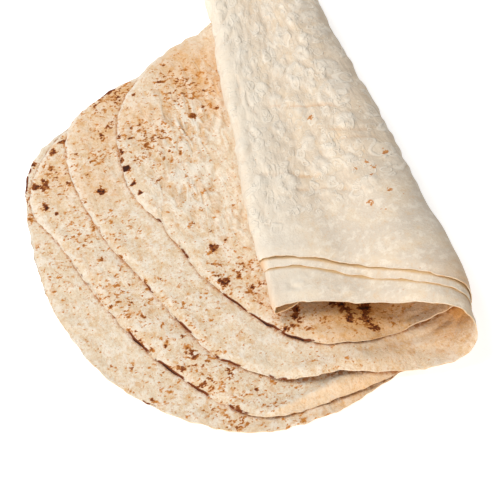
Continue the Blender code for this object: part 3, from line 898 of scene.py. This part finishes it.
def lifted_rim(along, y, to_rim, seed):
    """How far the rim lifts off the sheet under it, here more and there less."""
    more_or_less = 0.6 + 1.4 * lumps(along, y, 26 * MM, seed)
    return ease(to_rim, RIM_LIFT_WIDTH, 0) * more_or_less * RIM_LIFT_HEIGHT


def second_shape(along, y, to_rim, free):
    """The hump at the front with the crest of its hanging strip, a lifted rim and small bubbles."""
    margin = bubbles(along, y, 30 * MM, 10 * MM, 0.8, 21.5) + creases(along, y, DRAPE_CREST)
    lift = hump(along, y, SECOND_HUMP_HEIGHT, SECOND_HUMP_TOP_Y)
    lift += lifted_rim(along, y, to_rim, 26.5) * free
    return lift, np.where(along < FOLD_ALONG, margin * free, 0.0)


third_rim = rim_line(THIRD_RIM, THIRD_LEFT, 2)
second = make_sheet(
    "second_lavash", 1, second_rim, bottom_rim, third_rim, second_shape,
    {"toast": lambda along, y: patches(along, y, SECOND_TOAST) - DRAPE_CLEAN * drape(along, y),
     "burn": SECOND_BURN, "blister": blisters, "crumple": SECOND_CRUMPLE,
     "warm_tone_and_shade": lambda along, y: patches(along, y, SECOND_WARM_TONE_AND_SHADE) + DRAPE_WARM_TONE_AND_SHADE * drape(along, y)},
    finishes)
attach(second, "root")
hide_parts("sheet_second")

# Third sheet: almost clean in front, with toasted patches at its left. Its rim lifts off the sheet
# under it at the front and comes forward inside the fold.
TOP_RIM = [
    (-74, 95), (-66, 58), (-59, 45), (-57, 30), (-52, 14), (-45, -14), (-24, -54), (5, -94),
    (40, -112), (100, -112), (150, -106), (215, -78), (270, -50), (312, -20)]
TOP_LEFT = [(43, 228), (0, 215), (-32, 194), (-62, 158)]
THIRD_TOAST = [
    (-60, 191, 6, 1.2), (-75, 180, 4, 1.15), (-88, 175, 3.5, 1.0), (-42, 194, 5, 0.7),
    (-82, 147, 9, 0.75), (-72, 152, 8, 0.7), (-67, 157, 3, 0.8), (-86, 157, 3, 0.7),
    (-96, 91, 5, 1.6), (-102, 110, 3, 0.8), (-112, 125, 2.5, 0.8), (-105, 134, 3, 0.8),
    (-102, 147, 3, 0.7), (-112, 87, 4, 0.7), (-104, 69, 5, 0.6), (-89, -3, 4, 0.9),
    (-76, -4, 3, 0.7), (-87, 16, 3, 0.6), (-100, 27, 3, 0.8), (-57, -80, 4, 0.9),
    (-46, -96, 3, 0.8), (-86, -12, 4, 0.8), (-34, -71, 4, 0.5), (-32, -80, 5, 0.4),
    (-47, -26, 3, 0.4), (-65, -43, 4, 0.4), (-92, 125, 34, 0.44), (-62, 178, 34, 0.68),
    (-70, -40, 46, 0.4), (-96, 50, 30, 0.42), (20, -118, 30, 0.3)]
THIRD_BURN = [(-60, 191, 7, 0.9), (-88, -8, 9, 0.6), (-72, -52, 14, 0.7), (-52, -92, 14, 0.7),
              (-20, -118, 16, 0.5)]
# Warm spots: painted warm shade on the tuck's end under the flap's lip, at the front and in the
# curl inside the fold, darkest in its crevice, and a warm toasted tone at the left
THIRD_WARM_TONE_AND_SHADE = [
    (304, -64, 22, 0.9), (-80, 150, 34, 0.35), (-55, 185, 24, 0.5), (70, -116, 30, 0.5),
    (110, -122, 26, 0.6), (126, -113, 18, 1.2), (40, -104, 30, 0.3), (-100, 100, 24, 0.35)]
PUCKERS = [(257, -54, 9, 1.0), (250, -51, 7, 0.8), (227, -72, 6, 0.8), (237, -52, 6, 0.8)]
THIRD_CRUMPLE = [(95, -125, 26, 0.6), (125, -120, 26, 0.5), (-90, 100, 30, 0.3)]
THIRD_CRUMPLE_TINT = 0.1
CURL_CREASES = [((114, -116), (98, -121), 2.5, 1.4), ((98, -121), (70, -120), 3.0, 1.4),
                ((70, -120), (48, -124), 3.0, 0.9), ((122, -119), (112, -131), 2.5, 1.3),
                ((112, -131), (104, -142), 2.5, 1.2)]
THIRD_HUMP_HEIGHT = HUMP_HEIGHT * 1.15
FRONT_LIFT = [(4, -124, 20, 1.0)]
FRONT_LIFT_HEIGHT = 3.0 * MM
FRONT_LIFT_WIDTH = 22 * MM
CURL_WRINKLE_HEIGHT = 1.6 * MM
PUCKER_HEIGHT_MM = 2.2
HEM_WAVE_MM = 0.6
HEM_Y = (-60 * MM, -40 * MM)
HEM_ALONG = (175 * MM, 200 * MM)
CURL_END = (130 * MM, 160 * MM)


def third_shape(along, y, to_rim, free):
    """The hump, a lifted rim, the creased curl inside the fold and the flap's puckered hem."""
    margin = bubbles(along, y, 28 * MM, 10 * MM, 0.7, 31.5)
    rim_lift = lifted_rim(along, y, to_rim, 36.5)
    front_lift = patches(along, y, FRONT_LIFT)
    rim_lift += FRONT_LIFT_HEIGHT * ease(to_rim, FRONT_LIFT_WIDTH, 0) * front_lift
    curled = patches(along, y, THIRD_CRUMPLE)
    wrinkles = lumps(along * 0.25, y + along * 0.2, 6 * MM, 37.5)
    margin += curled * wrinkles * CURL_WRINKLE_HEIGHT
    margin -= creases(along, y, CURL_CREASES)
    hem = (1 - ease(y, *HEM_Y)) * ease(along, *HEM_ALONG)
    waves = HEM_WAVE_MM * lumps(along, y, 14 * MM, 38.5)
    puckers = patches(along, y, PUCKERS) * lumps(along, y, 4.5 * MM, 39.5)
    puckered = hem * (waves + PUCKER_HEIGHT_MM * puckers) * MM
    margin *= free * (1 - ease(along, *CURL_END))
    return hump(along, y, THIRD_HUMP_HEIGHT) + rim_lift * free, margin - puckered


top_rim = rim_line(TOP_RIM, TOP_LEFT, 3)
third = make_sheet(
    "third_lavash", 2, third_rim, second_rim, top_rim, third_shape,
    {"toast": THIRD_TOAST, "burn": THIRD_BURN, "blister": blisters,
     "crumple": lambda along, y: THIRD_CRUMPLE_TINT * patches(along, y, THIRD_CRUMPLE),
     "warm_tone_and_shade": THIRD_WARM_TONE_AND_SHADE},
    finishes)
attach(third, "root")
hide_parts("sheet_third")

# Top sheet: the smallest circle, speckled all over, with the darkest clumps next to the flap and
# in the fold's mouth. It is crumpled beside the flap, and its front rim is burnt to a black line.
TOP_TOAST = [
    (-70, 105, 5, 1.5), (-70, 88, 4, 1.3), (-69, 122, 3, 1.2), (-66, 139, 3, 1.25),
    (-64, 150, 3.5, 1.25), (-67, 78, 3.5, 1.1), (-55, 145, 3.5, 1.1), (-42, 178, 3, 1.0),
    (-51, 166, 3, 1.0), (-17, 183, 3, 0.9), (-7, 199, 3, 0.8), (-2, 192, 3, 0.8),
    (6, 191, 4, 0.7), (-19, 174, 3, 0.8), (-11, 168, 2.5, 1.2), (-5, 163, 5, 0.8),
    (-1, 148, 4, 0.9), (16, 161, 3, 0.8), (24, 156, 3, 0.8), (10, 143, 4, 0.8),
    (20, 141, 5, 0.8), (0, 139, 6, 0.7), (-46, 146, 3, 0.8), (-22, 132, 4, 0.8),
    (-58, 134, 3, 0.9), (-52, 124, 3, 0.8), (-36, 120, 5, 0.7), (-20, 115, 4, 0.7),
    (-68, 126, 4.5, 0.9), (-43, 115, 2.5, 0.8), (-36, 105, 3, 0.8), (-24, 105, 2.5, 0.8),
    (-71, 114, 3, 1.1), (-60, 109, 4, 0.8), (-50, 85, 5, 0.9), (-35, 35, 3, 0.8),
    (-26, 23, 3, 0.9), (-18, 11, 3, 0.9), (-29, 7, 6, 1.1), (-40, 23, 3, 0.7),
    (-27, -9, 5, 0.8), (-33, -7, 5, 0.8), (-18, -8, 3, 0.9), (-11, -17, 4, 0.8),
    (-30, -25, 6, 1.2), (-34, -20, 5, 0.8), (-23, -23, 3, 0.9), (-6, -31, 4, 0.7),
    (-4, -37, 4, 1.0), (-13, -36, 3, 0.9), (-19, -44, 4, 0.9), (-15, -52, 4, 0.8),
    (-11, -55, 4, 0.8), (-6, -60, 4, 0.9), (-3, -67, 7, 0.9), (-24, -32, 5, 0.7),
    (-1, -80, 4, 1.2), (12, -67, 6, 1.2), (5, -81, 6, 1.1), (46, -75, 8, 1.15),
    (47, -91, 8, 1.1), (62, -86, 8, 1.2), (63, -103, 7, 1.15), (26, -83, 8, 0.7),
    (15, -90, 6, 0.7), (-28, 40, 6, 0.4), (-1, 40, 5, 0.5), (-40, 125, 42, 0.56),
    (0, 170, 40, 0.56), (-22, 60, 40, 0.32), (-18, -28, 34, 0.60), (0, -75, 24, 0.34),
    (50, -85, 26, 0.75), (48, -84, 12, 0.95), (58, -98, 11, 1.1), (8, -74, 10, 0.95),
    (42, -74, 7, 1.1), (85, -92, 26, 0.5)]
TOP_BURN = [(-30, -45, 14, 0.9), (-14, -70, 14, 1.1), (2, -92, 12, 1.3), (-50, 12, 10, 0.6),
            (-60, 47, 5, 0.6)]
# Warm spots: painted warm shade on the inner face under the flap's lip and in the fold's mouth, and
# a warm toasted tone at the back
TOP_WARM_TONE_AND_SHADE = [
    (268, -46, 20, 0.8), (235, -64, 20, 0.7), (58, -84, 44, 1.0), (18, -74, 20, 0.2),
    (110, -84, 34, 0.6), (15, 185, 34, 0.7), (30, 160, 26, 0.6), (-40, 150, 26, 0.35)]
TOP_CRUMPLE = [(-5, 130, 45, 1.0), (-25, 70, 40, 0.9), (-5, 35, 30, 0.8), (20, 170, 30, 0.7)]
TOP_CRUMPLE_HEIGHT = 1.5 * MM
TOP_HUMP_HEIGHT = HUMP_HEIGHT * 1.3
TOP_SMOOTH_ALONG = (80 * MM, 120 * MM)


def top_shape(along, y, to_rim, free):
    """The hump, crumpled dough next to the flap and shallow bubbles elsewhere."""
    margin = bubbles(along, y, 26 * MM, 10 * MM, 0.7, 41.5)
    folds = lumps(along * 0.9 - y * 0.45, y * 0.35 + along * 0.2, 8 * MM, 44.5)
    margin += (0.5 - 2.5 * np.abs(folds)) * TOP_CRUMPLE_HEIGHT * patches(along, y, TOP_CRUMPLE)
    margin *= 1 - ease(along, *TOP_SMOOTH_ALONG)
    return hump(along, y, TOP_HUMP_HEIGHT) + lifted_rim(along, y, to_rim, 46.5), margin


top = make_sheet(
    "top_lavash", 3, top_rim, third_rim, None, top_shape,
    {"toast": TOP_TOAST, "burn": TOP_BURN, "blister": blisters, "crumple": TOP_CRUMPLE,
     "warm_tone_and_shade": TOP_WARM_TONE_AND_SHADE},
    finishes)
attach(top, "root")
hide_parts("sheet_top")
